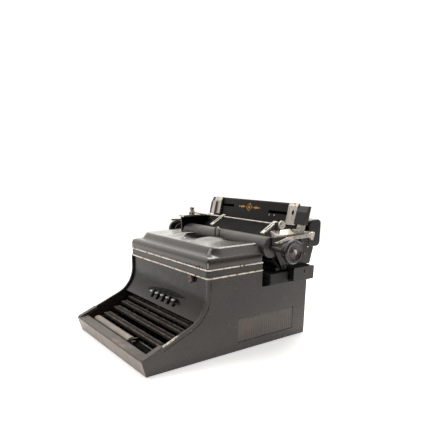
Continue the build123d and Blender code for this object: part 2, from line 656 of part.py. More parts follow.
with BuildPart() as shaft:
    rod(PLATEN_DEPTH, PLATEN_HEIGHT, SHAFT_R, 16 - KNOB_END_LEFT, KNOB_END_RIGHT - 16)
    with BuildSketch(side(-PLATEN_HALF - 6)):
        with Locations((PLATEN_DEPTH, PLATEN_HEIGHT)):
            Circle(15)
            with PolarLocations(15, 30):
                Rectangle(3, 1.6)
    extrude(amount=4)
keep(shaft, "platen_shaft")

for name, hand, end in (("left", -1, KNOB_END_LEFT), ("right", 1, KNOB_END_RIGHT)):
    with BuildPart() as knob:
        axis_plane = Plane(
            origin=(0, FRONT + PLATEN_DEPTH, PLATEN_HEIGHT), x_dir=(hand, 0, 0), z_dir=(0, -hand, 0)
        )
        with BuildSketch(axis_plane):
            with BuildLine():
                Polyline(
                    (end - 28, SHAFT_R), (end - 28, 9), (end - 23, 9), (end - 22.5, 15), (end - 17.5, 15),
                    (end - 17, 11), (end - 11, 11), (end - 10, 19), (end - 8.5, KNOB_R), (end - 2, KNOB_R),
                    (end, KNOB_R - 2), (end, KNOB_R - 4), (end - 2, KNOB_R - 5.5), (end - 2.6, 12),
                    (end - 1.4, 11), (end - 2.6, 9.5), (end - 2.6, 7), (end, 5.5), (end, 0),
                    (end - 16, 0), (end - 16, SHAFT_R), close=True,
                )
            make_face()
        revolve(axis=along_x(PLATEN_DEPTH, PLATEN_HEIGHT))
    keep(knob, f"platen_knob_{name}")

with BuildPart() as feed_roller:
    rod(FEED_DEPTH, FEED_HEIGHT, FEED_SHAFT, -PLATE_OUT, PLATE_OUT)
    for x in (-90, -30, 30, 90):
        rod(FEED_DEPTH, FEED_HEIGHT, FEED_R, x - 18, x + 18)
keep(feed_roller, "feed_roller")

# ---------------------------------------------------------------- paper table and guides
PAN_R, PAN_SHEET = 25.0, 1.2
LEAN = (TABLE_HEAD[0] - TABLE_FOOT[0]) / (TABLE_HEAD[1] - TABLE_FOOT[1])
BOARD = 3.0


def lean(points):
    """Turn heights and distances in front of the board into points on the leaning table."""
    foot_depth, foot_height = TABLE_FOOT
    return [
        (foot_depth + (height - foot_height) * LEAN - ahead, height) for height, ahead in points
    ]


with BuildPart() as table:
    slab(lean(((TABLE_FOOT[1], 0), (TABLE_HEAD[1] - 2, 0), (TABLE_HEAD[1], -1.5),
               (TABLE_HEAD[1] - 2, -BOARD), (TABLE_FOOT[1], -BOARD))), -136, 136)
    for (low, high), (foot, head) in (((-113, -65), (257, 263)), ((53, 109), (252.5, 258.5))):
        slab(lean(((foot, 1), (head, 1), (head, -2), (foot, -2))), low, high, Mode.SUBTRACT)
keep(table, "paper_table")

with BuildPart() as guide_left:
    slab(lean(((236, 3.5), (239, 5), (270, 5), (278, 2), (278, 0), (236, 0))), -136, -109)
    slab(lean(((238, 3.5), (268, 3.5), (268, 9), (238, 10))), -136, -125)
keep(guide_left, "paper_guide_left")

with BuildPart() as guide_right:
    slab(lean(((234, 3.5), (272, 3.5), (278, 1), (278, 0), (234, 0))), 111, 136)
    with BuildSketch(face(350)):
        with Locations((126, 259)):
            Ellipse(3.2, 5)
    extrude(amount=-20, mode=Mode.SUBTRACT)
keep(guide_right, "paper_guide_right")

END_LEFT, END_RIGHT = (-150.0, -136.0), (136.0, 163.0)
with BuildPart() as table_ends:
    slab(lean(((TOP_LEFT + 4, 4), (262, 4), (276, -1), (276, -6), (TOP_LEFT + 4, -6))), *END_LEFT)
    slab(lean(((237, 5), (262, 5), (273, 1), (273, -6), (237, -6))), *END_RIGHT)
    slab(lean(((TOP_RIGHT + 5, 5), (237, 5), (237, -6), (TOP_RIGHT + 5, -6))), PLATE_IN + 1, 158)
keep(table_ends, "paper_table_ends")

with BuildPart() as pan:
    slab(((TABLE_FOOT[0] - 1.5, TABLE_FOOT[1]), (TABLE_FOOT[0], TABLE_FOOT[1] - 4), (318, 205),
          (312, 196.5), (311, 197.5), (316.5, 206.5)), -PLATE_IN, PLATE_IN)
    with BuildSketch(side(-PLATE_IN)):
        with BuildLine():
            near = CenterArc((PLATEN_DEPTH, PLATEN_HEIGHT), PAN_R, -118, 66)
            far = CenterArc((PLATEN_DEPTH, PLATEN_HEIGHT), PAN_R + PAN_SHEET, -118, 66)
            Line(near @ 0, far @ 0)
            Line(near @ 1, far @ 1)
        make_face()
    extrude(amount=2 * PLATE_IN)
keep(pan, "paper_pan")

# ---------------------------------------------------------------- carriage trim and controls
SELECTOR_PIVOT = 293.0  # depth of the line space selector's shaft

with BuildPart() as rail_left:
    block((-152, -132), (264, 345), (TOP_LEFT, TOP_LEFT + 4))
    block((-150, -146), (BAIL_DEPTH - 5, BAIL_DEPTH + 5), (TOP_LEFT + 4, BAIL_HEIGHT + 5))
    for x in (-144, -136):
        block((x - 1.2, x + 1.2), (SELECTOR_PIVOT - 5, SELECTOR_PIVOT + 5), (TOP_LEFT + 4, TOP_LEFT + 10))
    rod(BAIL_DEPTH, BAIL_HEIGHT, BAIL_R + RUNNING, -150, -146, Mode.SUBTRACT)
    rod(SELECTOR_PIVOT, TOP_LEFT + 7, 1.5 + RUNNING, -145.6, -134, Mode.SUBTRACT)
keep(rail_left, "carriage_top_rail_left")

with BuildPart() as rail_right:
    with BuildSketch(deck(TOP_RIGHT)):
        with BuildLine():
            Polyline((PLATE_IN + 1, 330), (156, 330), (158, 340), (158, 383.5),
                     (PLATE_IN + 1, 383.5), close=True)
        make_face()
    extrude(amount=5)
    with BuildSketch(face(283)):
        with BuildLine():
            Polyline((PLATE_IN, TOP_RIGHT), (153, TOP_RIGHT), (158, 220), (158, 221.5),
                     (141, 229), (141, 226), (146.5, 221), close=True)
        make_face()
    extrude(amount=-54)
    block((PLATE_IN + 2, 158), (337, 349), (TOP_RIGHT + 5, 229))
    block((141, 147), (BAIL_DEPTH - 4, BAIL_DEPTH + 4), (226, BAIL_HEIGHT + 4))
    rod(BAIL_DEPTH, BAIL_HEIGHT, BAIL_R + RUNNING, 141, 147, Mode.SUBTRACT)
keep(rail_right, "carriage_top_plate_right")

with BuildPart() as bail_rod:
    rod(BAIL_DEPTH, BAIL_HEIGHT, BAIL_R, -151, 153)
    rod(BAIL_DEPTH, BAIL_HEIGHT, 8, 153, 156.5)
    rod(BAIL_DEPTH, BAIL_HEIGHT, 5, 156.5, 158)
keep(bail_rod, "paper_bail_rod")

FINGER_END = (268.0, 226.0)
with BuildPart() as fingers:
    for x in (-28, 134):
        slab(((304, 246), (306, 243), (FINGER_END[0] + 1, FINGER_END[1] - 3), FINGER_END),
             x - 5, x + 5)
        rod(BAIL_DEPTH, BAIL_HEIGHT, 3.6, x - 4, x + 4)
        slab(((296, 250), (296, 230), (276, 220), (276, 240)), x - 1.8, x + 1.8, Mode.SUBTRACT)
    rod(BAIL_DEPTH, BAIL_HEIGHT, BAIL_R, -50, 150, Mode.SUBTRACT)
keep(fingers, "paper_fingers")

with BuildPart() as selector_lever:
    rod(SELECTOR_PIVOT, TOP_LEFT + 7, 1.5, -145.2, -134.8)
    rod(SELECTOR_PIVOT, TOP_LEFT + 7, 2.6, -142.5, -137.5)
    with Locations((-140, FRONT + SELECTOR_PIVOT, TOP_LEFT + 7)):
        Cylinder(1.4, 10, align=(Align.CENTER, Align.CENTER, Align.MIN))
    with Locations((-140, FRONT + SELECTOR_PIVOT, TOP_LEFT + 18)):
        Sphere(6)
keep(selector_lever, "line_space_selector")

RELEASE_X = (164.0, 168.0)
with BuildPart() as release_lever:
    slab(((273.5, 209.8), (278, 208), (288, 208.7), (305, 212.3), (366, 212.8), (374, 206.5),
          (377.5, 206.5), (382, 222.5), (377, 223), (370, 219.8), (305, 217.7), (290, 213.5)), *RELEASE_X)
    slab(((340, 217), (340.5, LEVER_PIVOT[1] - 4), (349.5, LEVER_PIVOT[1] - 4), (350, 217)), *RELEASE_X)
    rod(*LEVER_PIVOT, 3 + RUNNING, *RELEASE_X, Mode.SUBTRACT)
keep(release_lever, "paper_release_lever")

with BuildPart() as return_lever:
    with BuildSketch(deck(RETURN_HEIGHT[0])):
        with Locations(RETURN_PIVOT):
            Circle(7)
        with BuildLine():
            Polyline((-157, 296), (-165, 302), (-172, 282), (-180, 268), (-181, 258), (-176, 257),
                     (-174, 266), (-166, 278), close=True)
        make_face()
        with Locations(RETURN_PIVOT):
            Circle(3 + RUNNING, mode=Mode.SUBTRACT)
    extrude(amount=RETURN_HEIGHT[1] - RETURN_HEIGHT[0])
keep(return_lever, "carriage_return_lever")

MARGIN_ROD = (372.0, 204.0)
with BuildPart() as margin_rod:
    rod(*MARGIN_ROD, 3, -PLATE_IN, PLATE_IN)
keep(margin_rod, "margin_rod")

for name, x in (("left", -90), ("right", 90)):
    with BuildPart() as stop:
        block((x - 7, x + 7), (366, 378), (196, 216))
        rod(*MARGIN_ROD, 3 + RUNNING, x - 7, x + 7, Mode.SUBTRACT)
    keep(stop, f"margin_stop_{name}")

with BuildPart() as drum:
    for depth, length, radius in ((346, 2, DRUM_R + 2), (348, 12, DRUM_R), (360, 2, DRUM_R + 2)):
        with BuildSketch(face(depth)):
            with Locations((DRUM_X, DRUM_HEIGHT)):
                Circle(radius)
                Circle(4 + RUNNING, mode=Mode.SUBTRACT)
        extrude(amount=-length)
keep(drum, "mainspring_drum")

# ---------------------------------------------------------------- screws
with BuildPart() as screws:
    for hand in (-1, 1):
        near, far = sorted((hand * PLATE_OUT, hand * (PLATE_OUT + 1.6)))
        for depth, height in ((321, 155), (374, 176), (330, 209)):
            rod(depth, height, 3, near, far)
        near, far = sorted((hand * BEAM_HALF, hand * (BEAM_HALF + 1.4)))
        rod(362, 144, 3, near, far)
    rod(*LEVER_PIVOT, 3, PLATE_OUT, RELEASE_X[1] + 1)
    rod(*LEVER_PIVOT, 5, PLATE_OUT, RELEASE_X[0] - 0.5)
keep(screws, "carriage_screws")
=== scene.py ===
import json
from math import cos, exp, hypot, pi, radians, sin, sqrt

import bmesh
import bpy
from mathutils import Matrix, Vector


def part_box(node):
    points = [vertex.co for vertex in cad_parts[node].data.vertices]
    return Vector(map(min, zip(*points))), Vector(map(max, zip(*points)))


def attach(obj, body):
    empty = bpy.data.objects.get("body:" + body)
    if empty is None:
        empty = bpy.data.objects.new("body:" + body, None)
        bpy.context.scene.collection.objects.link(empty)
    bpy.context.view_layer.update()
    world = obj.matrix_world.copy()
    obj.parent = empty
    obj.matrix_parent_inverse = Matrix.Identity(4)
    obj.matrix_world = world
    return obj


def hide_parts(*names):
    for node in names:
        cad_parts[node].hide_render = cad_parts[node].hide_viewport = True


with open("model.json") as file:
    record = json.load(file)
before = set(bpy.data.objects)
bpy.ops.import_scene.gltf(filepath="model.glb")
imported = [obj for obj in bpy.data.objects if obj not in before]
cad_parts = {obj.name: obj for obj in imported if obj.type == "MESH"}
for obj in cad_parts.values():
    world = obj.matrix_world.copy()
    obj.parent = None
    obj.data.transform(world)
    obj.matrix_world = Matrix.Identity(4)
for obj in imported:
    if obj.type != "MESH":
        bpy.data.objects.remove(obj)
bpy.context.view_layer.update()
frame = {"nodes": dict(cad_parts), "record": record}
nodes = frame["nodes"]
MM = 0.001
FRONT = -0.2065  # y of the body's front bottom edge
KEY_BANKS = tuple(FRONT + depth for depth in (0.050, 0.074, 0.093, 0.111))  # y of each bank's middle
KEY_LOW, KEY_HIGH = (KEY_BANKS[0], 0.039), (KEY_BANKS[-1], 0.0665)  # y and z of the outer banks' tops
KNOB_CENTRE = (FRONT + 0.285, 0.1966)  # y and z of the platen's axis
HANDS = (("left", -1), ("right", 1))
SIDE_FACE = 147.0  # outer face of a side wall, in mm from the middle


# ---------------------------------------------------------------- materials
class Surface:
    """A procedural material: colour, wear, roughness and fine relief, all from nodes."""

    def __init__(self, name):
        self.material = bpy.data.materials.new(name)
        self.material.use_nodes = True
        self.tree = self.material.node_tree
        self.shader = self.tree.nodes["Principled BSDF"]
        self.where = self.tree.nodes.new("ShaderNodeTexCoord").outputs["Object"]
        self.normal = None

    def node(self, kind, **settings):
        made = self.tree.nodes.new("ShaderNode" + kind)
        for key, value in settings.items():
            setattr(made, key, value)
        return made

    def plug(self, target, value):
        if isinstance(value, bpy.types.NodeSocket):
            self.tree.links.new(value, target)
        else:
            target.default_value = value

    def axis(self, name):
        """One coordinate of the row frame, in metres."""
        split = self.node("SeparateXYZ")
        self.plug(split.inputs[0], self.where)
        return split.outputs[name]

    def within(self, name, low, high, soft=0.0003):
        """1 between two limits along an axis."""
        rise = self.remap(self.axis(name), low - soft, low + soft)
        return self.maths("MULTIPLY", rise, self.remap(self.axis(name), high + soft, high - soft))

    def stretched(self, stretch):
        if stretch == (1, 1, 1):
            return self.where
        mapping = self.node("Mapping")
        self.plug(mapping.inputs["Vector"], self.where)
        mapping.inputs["Scale"].default_value = stretch
        return mapping.outputs["Vector"]

    def noise(self, scale, detail=3.0, rough=0.55, stretch=(1, 1, 1), warp=0.0):
        made = self.node("TexNoise")
        self.plug(made.inputs["Vector"], self.stretched(stretch))
        made.inputs["Scale"].default_value = scale
        made.inputs["Detail"].default_value = detail
        made.inputs["Roughness"].default_value = rough
        made.inputs["Distortion"].default_value = warp
        return made.outputs["Fac"]

    def remap(self, value, low, high, out_low=0.0, out_high=1.0, smooth=False):
        made = self.node("MapRange", clamp=True)
        if smooth:
            made.interpolation_type = "SMOOTHSTEP"
        self.plug(made.inputs["Value"], value)
        limits = {"From Min": low, "From Max": high, "To Min": out_low, "To Max": out_high}
        for key, number in limits.items():
            made.inputs[key].default_value = number
        return made.outputs["Result"]

    def maths(self, operation, first, second):
        made = self.node("Math", operation=operation)
        self.plug(made.inputs[0], first)
        self.plug(made.inputs[1], second)
        return made.outputs[0]

    def product(self, *values):
        total = values[0]
        for value in values[1:]:
            total = self.maths("MULTIPLY", total, value)
        return total

    def blend(self, amount, first, second):
        made = self.node("Mix", data_type="RGBA")
        self.plug(made.inputs[0], amount)
        for socket, colour in ((made.inputs[6], first), (made.inputs[7], second)):
            self.plug(socket, colour if isinstance(colour, bpy.types.NodeSocket) else (*colour, 1))
        return made.outputs[2]

    def edges(self, radius, soft=0.02, hard=0.25):
        """1 on worn outer edges, 0 on flat faces; it also rounds the edges' shading."""
        bevel = self.node("Bevel", samples=4)
        bevel.inputs["Radius"].default_value = radius
        plain = self.node("NewGeometry")
        across = self.node("VectorMath", operation="DOT_PRODUCT")
        self.plug(across.inputs[0], bevel.outputs["Normal"])
        self.plug(across.inputs[1], plain.outputs["Normal"])
        self.normal = bevel.outputs["Normal"]
        return self.remap(across.outputs["Value"], 1 - soft, 1 - hard)

    def relief(self, height, strength, distance):
        bump = self.node("Bump")
        bump.inputs["Strength"].default_value = strength
        bump.inputs["Distance"].default_value = distance
        self.plug(bump.inputs["Height"], height)
        if self.normal is not None:
            self.plug(bump.inputs["Normal"], self.normal)
        self.normal = bump.outputs["Normal"]

    def finish(self, colour, roughness, metallic=0.0, specular=0.5, coat=0.0, coat_roughness=0.1):
        self.plug(self.shader.inputs["Base Color"], colour)
        self.plug(self.shader.inputs["Roughness"], roughness)
        self.plug(self.shader.inputs["Metallic"], metallic)
        self.shader.inputs["Specular IOR Level"].default_value = specular
        self.shader.inputs["Coat Weight"].default_value = coat
        self.shader.inputs["Coat Roughness"].default_value = coat_roughness
        if self.normal is not None:
            self.plug(self.shader.inputs["Normal"], self.normal)
        return self.material


def enamel(name, dark, warm, bare, rough=(0.2, 0.34), wear=0.5, edge=0.0012, chips=0.7, coat=0.0,
           specular=0.4, rubbed=None, dust_and_bounce=0.0):
    """Old stove enamel: blotched black, bare along the edges, chipped and scratched, paler low down: dusty,
    and painted bounce light.
    """
    s = Surface(name)
    edge_mask = s.edges(edge)
    blotch = s.remap(s.noise(7, 4, 0.6), 0.35, 0.7, smooth=True)
    rusty = s.remap(s.noise(16, 5, 0.65), 0.56, 0.74, 0.0, 0.5)
    colour = s.blend(blotch, dark, warm)
    colour = s.blend(rusty, colour, (1.5 * warm[0], 1.05 * warm[1], 0.95 * warm[2]))
    # Paler towards the bottom: a dusty tint that also serves as painted light bounced up from the floor.
    if dust_and_bounce:
        cloud = s.remap(s.noise(20, 4, 0.6), 0.3, 0.7, 0.7, 1.0)
        colour = s.blend(s.product(s.remap(s.axis("Z"), 0.085, 0.018, 0.0, dust_and_bounce), cloud), colour, DUST_AND_BOUNCE)
    worn = s.product(edge_mask, s.remap(s.noise(120, 4, 0.7), 0.42, 0.62), wear)
    chipped = s.product(s.remap(s.noise(170, 3, 0.6), chips, chips + 0.05), 0.3)
    scratch = s.remap(s.noise(60, 2, 0.5, stretch=(0.25, 1, 6), warp=0.6), 0.71, 0.76, 0.0, 0.22)
    bared = s.maths("MAXIMUM", worn, s.maths("MAXIMUM", chipped, scratch))
    if rubbed is not None:
        ragged = s.remap(s.noise(260, 4, 0.65, stretch=(1, 0.35, 0.35)), 0.38, 0.52)
        bared = s.maths("MAXIMUM", bared, s.product(rubbed(s), ragged))
    colour = s.blend(bared, colour, bare)
    gloss = s.remap(s.noise(30, 4, 0.65), 0.3, 0.7, *rough)
    s.relief(s.noise(900, 2, 0.5), 0.04, 0.0002)
    s.relief(s.noise(36, 2, 0.5), 0.05, 0.0008)
    return s.finish(colour, gloss, specular=specular, coat=coat, coat_roughness=0.2)


def lip_finish(name):
    """The front lip's thin paint: grey-beige with upright brush streaks, darker on top, with painted shade in
    its crease and along its foot.
    """
    s = Surface(name)
    edge_mask = s.edges(0.001)
    streak = s.remap(s.noise(70, 4, 0.6, stretch=(3.2, 0.4, 0.25), warp=0.3), 0.36, 0.66, smooth=True)
    cloud = s.remap(s.noise(14, 4, 0.6), 0.35, 0.68, smooth=True)
    rosy = s.remap(s.noise(26, 3, 0.6), 0.56, 0.7, 0.0, 0.55)
    colour = s.blend(streak, (0.185, 0.158, 0.138), (0.290, 0.252, 0.224))
    colour = s.blend(s.product(cloud, 0.4), colour, (0.24, 0.21, 0.19))
    on_top = s.blend(cloud, (0.035, 0.029, 0.024), (0.060, 0.050, 0.042))
    colour = s.blend(s.remap(s.axis("Z"), 0.0302, 0.0318, 0.0, 0.92), colour, on_top)
    colour = s.blend(rosy, colour, (0.24, 0.165, 0.14))
    # Dark line along the crease under the top band: painted shade.
    crease_shade = s.product(
        s.remap(s.axis("Z"), 0.0286, 0.0296),
        s.remap(s.axis("Z"), 0.0316, 0.0306),
        s.remap(s.axis("Y"), FRONT - 0.0040, FRONT - 0.0056),
        s.remap(s.noise(80, 3, 0.6), 0.3, 0.5, 0.45, 0.9),
    )
    colour = s.blend(crease_shade, colour, (0.055, 0.04, 0.035))
    cut_end = s.remap(s.maths("ABSOLUTE", s.axis("X"), 0.0), 0.1464, 0.1468, 0.0, 0.9)
    colour = s.blend(cut_end, colour, (0.030, 0.025, 0.021))
    # Darker along the bottom 3 mm: painted shade where the lip meets the floor.
    foot = s.remap(s.axis("Z"), 0.003, 0.0008, 0.0, 0.8)
    colour = s.blend(foot, colour, (0.05, 0.045, 0.04))
    rub = s.product(edge_mask, s.remap(s.noise(130, 4, 0.65), 0.45, 0.6, 0.0, 0.5))
    colour = s.blend(rub, colour, (0.46, 0.43, 0.40))
    gloss = s.remap(s.noise(30, 4, 0.6), 0.3, 0.7, 0.38, 0.56)
    s.relief(s.noise(500, 3, 0.6), 0.10, 0.0002)
    return s.finish(colour, gloss)


def key_finish(name):
    """Key banks: near-black mouldings, stippled on top, with rubbed pale ribs, and flanks darkened as painted
    shade.
    """
    s = Surface(name)
    edge_mask = s.edges(0.0005, 0.01, 0.2)
    slope = (KEY_HIGH[1] - KEY_LOW[1]) / (KEY_HIGH[0] - KEY_LOW[0])
    top_line = s.maths("ADD", s.product(s.maths("SUBTRACT", s.axis("Y"), KEY_LOW[0]), slope), KEY_LOW[1])
    patch = s.remap(s.noise(24, 4, 0.6), 0.38, 0.66, smooth=True)
    colour = s.blend(patch, (0.008, 0.007, 0.007), (0.022, 0.015, 0.013))
    grain = s.remap(s.noise(420, 2, 0.6), 0.5, 0.62, 0.0, 0.6)
    colour = s.blend(grain, colour, (0.045, 0.035, 0.031))
    rub = s.product(edge_mask, s.remap(s.noise(110, 4, 0.65), 0.34, 0.56, 0.05, 0.8))
    rib_off, rib_half = 0.0054, 0.0007
    rib = 0.0
    for middle in KEY_BANKS:
        for y in (middle - rib_off, middle + rib_off):
            rib = s.maths("MAXIMUM", rib, s.within("Y", y - rib_half, y + rib_half))
    ribbed = s.product(rib, s.remap(s.noise(90, 4, 0.65), 0.36, 0.58, 0.15, 0.85))
    colour = s.blend(s.maths("MAXIMUM", rub, ribbed), colour, (0.30, 0.24, 0.21))
    # Front flanks below each bank's top line go near-black: painted shade.
    flank_shade = s.remap(s.maths("SUBTRACT", top_line, s.axis("Z")), 0.0038, 0.0062)
    colour = s.blend(flank_shade, colour, (0.004, 0.004, 0.004))
    gloss = s.remap(s.noise(48, 4, 0.6), 0.3, 0.7, 0.45, 0.65)
    s.relief(s.noise(600, 3, 0.6), 0.2, 0.0002)
    return s.finish(colour, gloss, specular=0.3)


def plate(name, bright, dull, stain, rough=(0.3, 0.5), stained=0.6, edge=0.0006, metallic=1.0,
          painted=None):
    """Worn nickel plate: cloudy, with dark and rusty spots, and black enamel on any painted part."""
    s = Surface(name)
    s.edges(edge)
    cloud = s.remap(s.noise(28, 5, 0.65), 0.35, 0.68, smooth=True)
    spot = s.remap(s.noise(150, 4, 0.65), stained, stained + 0.08)
    colour = s.blend(cloud, bright, dull)
    colour = s.blend(spot, colour, stain)
    metal = s.remap(spot, 0.0, 1.0, metallic, 0.15)
    if painted is not None:
        mask = painted(s)
        colour = s.blend(mask, colour, (0.010, 0.010, 0.010))
        metal = s.product(metal, s.maths("SUBTRACT", 1.0, mask))
    gloss = s.maths("ADD", s.remap(s.noise(70, 4, 0.6), 0.3, 0.7, *rough), s.product(spot, 0.3))
    s.relief(s.noise(420, 3, 0.6), 0.15, 0.0002)
    return s.finish(colour, gloss, metal)


def moulding(name, base, second, worn, rough=(0.4, 0.6), wear=0.5, edge=0.0008, specks=0.68):
    """Old moulded plastic or hard rubber, with rubbed edges and dusty specks in the grain."""
    s = Surface(name)
    edge_mask = s.edges(edge)
    patch = s.remap(s.noise(22, 4, 0.6), 0.35, 0.68, smooth=True)
    colour = s.blend(patch, base, second)
    rub = s.product(edge_mask, s.remap(s.noise(160, 4, 0.65), 0.4, 0.6), wear)
    speck = s.product(s.remap(s.noise(330, 3, 0.6), specks, specks + 0.05), 0.4)
    colour = s.blend(s.maths("MAXIMUM", rub, speck), colour, worn)
    gloss = s.remap(s.noise(48, 4, 0.6), 0.3, 0.7, *rough)
    s.relief(s.noise(700, 3, 0.6), 0.14, 0.0002)
    return s.finish(colour, gloss)


def knob_finish(name):
    """Turned knob: black rim, red-brown rings and a pale swirl at the centre painted as a reflection."""
    s = Surface(name)
    edge_mask = s.edges(0.0012)
    off_y = s.maths("SUBTRACT", s.axis("Y"), KNOB_CENTRE[0])
    off_z = s.maths("SUBTRACT", s.axis("Z"), KNOB_CENTRE[1])
    radius = s.maths("SQRT", s.maths("ADD", s.product(off_y, off_y), s.product(off_z, off_z)), 0.0)
    face = s.remap(s.maths("ABSOLUTE", s.axis("X"), 0.0), 0.1945, 0.196)
    rings = s.remap(s.maths("SINE", s.product(radius, 3000.0), 0.0), -0.2, 0.8)
    band = s.product(s.remap(radius, 0.0175, 0.0160), s.remap(radius, 0.0058, 0.0068))
    colour = s.blend(s.remap(s.noise(40, 4, 0.6), 0.35, 0.7), (0.008, 0.007, 0.007), (0.018, 0.014, 0.013))
    colour = s.blend(s.product(rings, band, face, 0.8), colour, (0.075, 0.035, 0.030))
    # Pale S-shaped swirl on the knob's centre: a painted reflection.
    across = s.maths("ADD", s.product(off_y, 420.0), s.product(off_z, 300.0))
    swirl_reflection = s.remap(s.maths("SINE", across, 0.0), -0.5, 0.5, 0.12, 1.0, smooth=True)
    centre = s.product(s.remap(radius, 0.0066, 0.0058), face, swirl_reflection)
    colour = s.blend(centre, colour, (0.55, 0.49, 0.47))
    rub = s.product(edge_mask, s.remap(s.noise(140, 4, 0.6), 0.3, 0.55, 0.0, 0.6))
    colour = s.blend(rub, colour, (0.30, 0.27, 0.26))
    gloss = s.remap(s.noise(60, 3, 0.6), 0.3, 0.7, 0.16, 0.34)
    s.relief(s.noise(300, 3, 0.6), 0.08, 0.0002)
    return s.finish(colour, gloss, coat=0.3, coat_roughness=0.15)


def tab_finish(name):
    """Tab key: dark moulding with a pale nose painted as a highlight."""
    s = Surface(name)
    edge_mask = s.edges(0.0006)
    patch = s.remap(s.noise(40, 4, 0.6), 0.35, 0.7)
    colour = s.blend(patch, (0.014, 0.013, 0.012), (0.035, 0.031, 0.028))
    # Pale front of each key's nose: a painted highlight.
    nose_highlight = s.product(
        s.remap(s.axis("Y"), FRONT + 0.1190, FRONT + 0.1165),
        s.remap(s.axis("Z"), 0.0950, 0.0958),
        s.remap(s.noise(190, 3, 0.6), 0.25, 0.5, 0.55, 1.0),
    )
    colour = s.blend(nose_highlight, colour, (0.72, 0.70, 0.67))
    rub = s.product(edge_mask, s.remap(s.noise(160, 4, 0.65), 0.4, 0.6, 0.0, 0.5))
    colour = s.blend(rub, colour, (0.42, 0.40, 0.38))
    s.relief(s.noise(600, 3, 0.6), 0.1, 0.0002)
    return s.finish(colour, s.remap(s.noise(60, 3, 0.6), 0.3, 0.7, 0.22, 0.4), coat=0.2)


def corner_wear(s):
    """Bare line down the cover's front right corner."""
    depth = s.within("Y", FRONT + 0.1290, FRONT + 0.1318)
    return s.product(s.within("X", 0.1442, 0.1470), depth, s.within("Z", 0.1735, 0.1850))


def sill_wear(s):
    """Bare strip where hands rest on the right wall's sloping edge."""
    rise = s.product(s.maths("SUBTRACT", s.axis("Y"), FRONT + 0.030), 0.4142)
    below = s.maths("SUBTRACT", s.maths("ADD", rise, 0.046), s.axis("Z"))
    return s.product(s.remap(below, 0.0013, 0.0009), s.within("Y", FRONT + 0.034, FRONT + 0.067, 0.002))


def bracket_paint(s):
    """The painted front bracket of the carriage's right top plate."""
    return s.product(
        s.remap(s.axis("Z"), 0.2288, 0.2292),
        s.remap(s.axis("X"), 0.1474, 0.1470),
        s.remap(s.axis("Y"), FRONT + 0.3058, FRONT + 0.3052),
    )


def arm_paint(s):
    """The painted lower arm of the paper release lever."""
    return s.product(s.within("Y", FRONT + 0.3385, FRONT + 0.3515), s.remap(s.axis("Z"), 0.2128, 0.2122))


def upper_paint(s):
    """The painted upper half and left end of the paper table's end brackets."""
    return s.maths("MAXIMUM", s.remap(s.axis("Z"), 0.2368, 0.2372), s.remap(s.axis("X"), 0.0, -0.001))


BLACK, WARM, BARE = (0.018, 0.0155, 0.0135), (0.028, 0.0215, 0.0185), (0.34, 0.30, 0.26)
# Pale tint blended in low down: dusty colour and painted floor-bounce light.
DUST_AND_BOUNCE = (0.105, 0.092, 0.082)
WHITE_PLATE, GREY_PLATE, STAIN = (0.62, 0.585, 0.54), (0.40, 0.37, 0.33), (0.19, 0.155, 0.125)
CASTING, CASTING_WARM, CASTING_BARE = (0.006, 0.006, 0.006), (0.012, 0.010, 0.009), (0.05, 0.045, 0.04)
CARRIAGE_BARE = (0.22, 0.20, 0.19)


def nickel(name, stained, painted=None):
    return plate(name, WHITE_PLATE, GREY_PLATE, STAIN, stained=stained, metallic=0.7, painted=painted)


finishes = {
    "body_paint": enamel("body_enamel", BLACK, WARM, BARE, dust_and_bounce=0.6),
    "lip_paint": lip_finish("lip_enamel"),
    "frame_paint": enamel("casting_japan", CASTING, CASTING_WARM, CASTING_BARE, rough=(0.5, 0.7), wear=0.3),
    "carriage_paint": enamel("carriage_enamel", (0.007, 0.007, 0.007), (0.012, 0.011, 0.010), CARRIAGE_BARE,
                             rough=(0.22, 0.36)),
    "trim_metal": plate("trim_nickel", (0.82, 0.75, 0.67), (0.55, 0.48, 0.42), (0.16, 0.07, 0.04),
                        rough=(0.35, 0.55), stained=0.56, metallic=0.6),
    "chrome": nickel("worn_nickel", 0.61),
    "steel": plate("oiled_steel", (0.17, 0.155, 0.145), (0.08, 0.073, 0.067), (0.03, 0.025, 0.02),
                   rough=(0.35, 0.55)),
    "key_plastic": key_finish("key_moulding"),
    "space_bar_plastic": moulding("space_bar_moulding", (0.215, 0.185, 0.16), (0.31, 0.275, 0.245),
                                  (0.46, 0.43, 0.40)),
    "tab_key_plastic": tab_finish("tab_key_moulding"),
    "platen_rubber": moulding("platen_rubber", (0.044, 0.040, 0.037), (0.062, 0.056, 0.052),
                              (0.16, 0.15, 0.14), rough=(0.32, 0.46), wear=0.4),
    "foot_rubber": moulding("foot_rubber", (0.02, 0.02, 0.02), (0.03, 0.03, 0.03), (0.08, 0.08, 0.08)),
    "knob_plastic": knob_finish("platen_knob"),
}
cover_enamel = enamel("cover_enamel", (0.026, 0.022, 0.019), (0.038, 0.029, 0.025), BARE, rough=(0.18, 0.32),
                      coat=0.4, rubbed=corner_wear)
